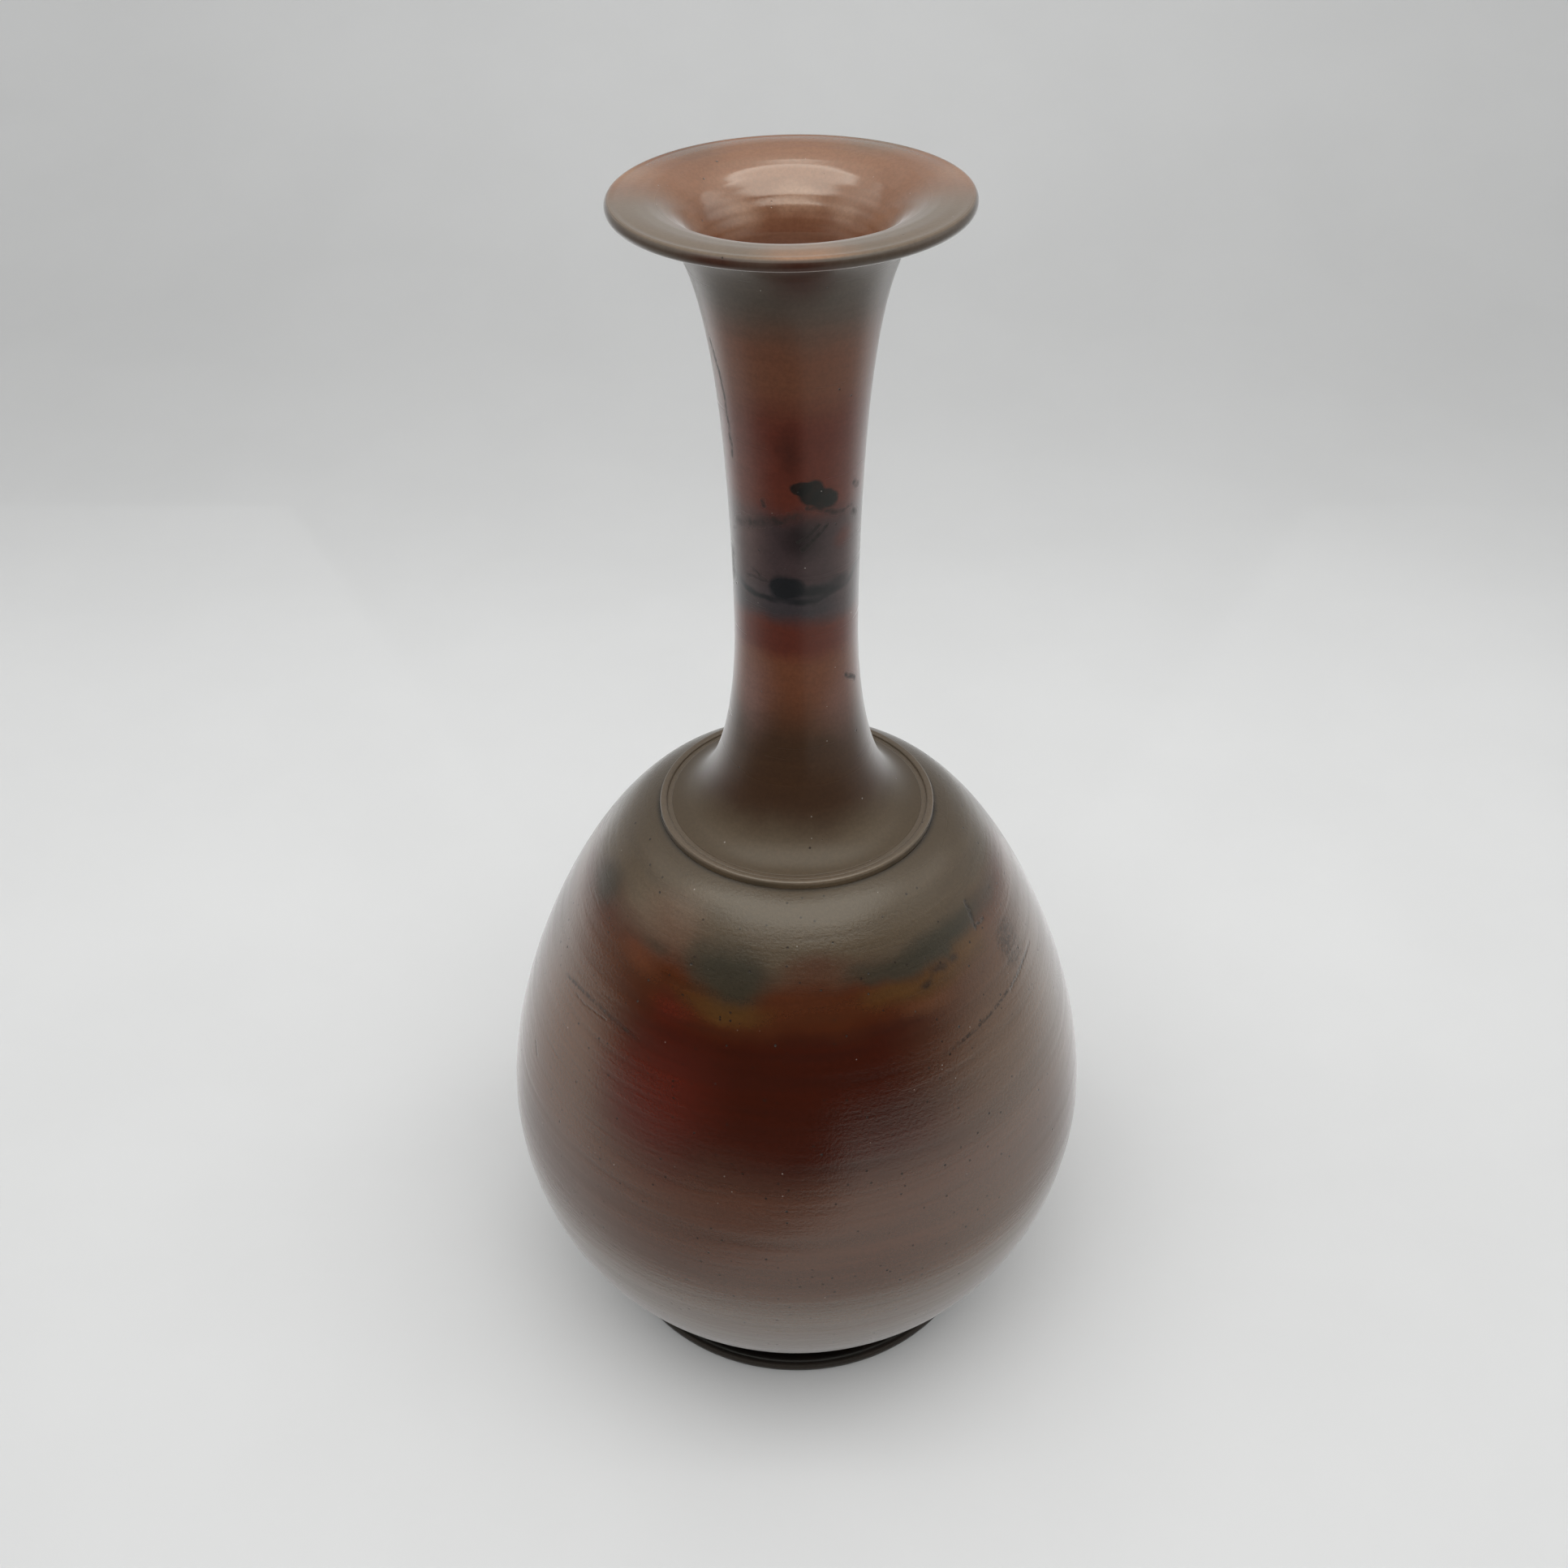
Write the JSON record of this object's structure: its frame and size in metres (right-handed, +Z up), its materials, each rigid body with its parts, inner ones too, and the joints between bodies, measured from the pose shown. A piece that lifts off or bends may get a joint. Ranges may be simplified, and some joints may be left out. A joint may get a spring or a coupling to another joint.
{
  "type": "stoneware bottle vase",
  "caption": "Unglazed burnished stoneware bottle vase with an egg-shaped body, shoulder bead, long slim neck, trumpet mouth and turned foot ring, for water and cut stems.",
  "frame": {"origin": "centre of the foot ring's resting face, on the surface that the vase stands on", "axes": "+Z up along the axis that the vase is turned on, from the foot to the mouth"},
  "size_m": [0.1296, 0.1296, 0.2601],
  "materials": {
    "burnished_red_clay": "satin burnished, kiln clouded",
    "burnished_brown_clay": "satin burnished, kiln clouded",
    "smoked_olive_clay": "satin burnished",
    "dark_fired_clay": "satin turned",
    "luting_slip": "matte"
  },
  "bodies": {
    "root": {"foot_ring": "dark_fired_clay", "foot_slip": "luting_slip", "body": "burnished_red_clay", "shoulder_slip": "luting_slip", "shoulder_bead": "smoked_olive_clay", "neck": "burnished_brown_clay"}
  },
  "joints": []
}
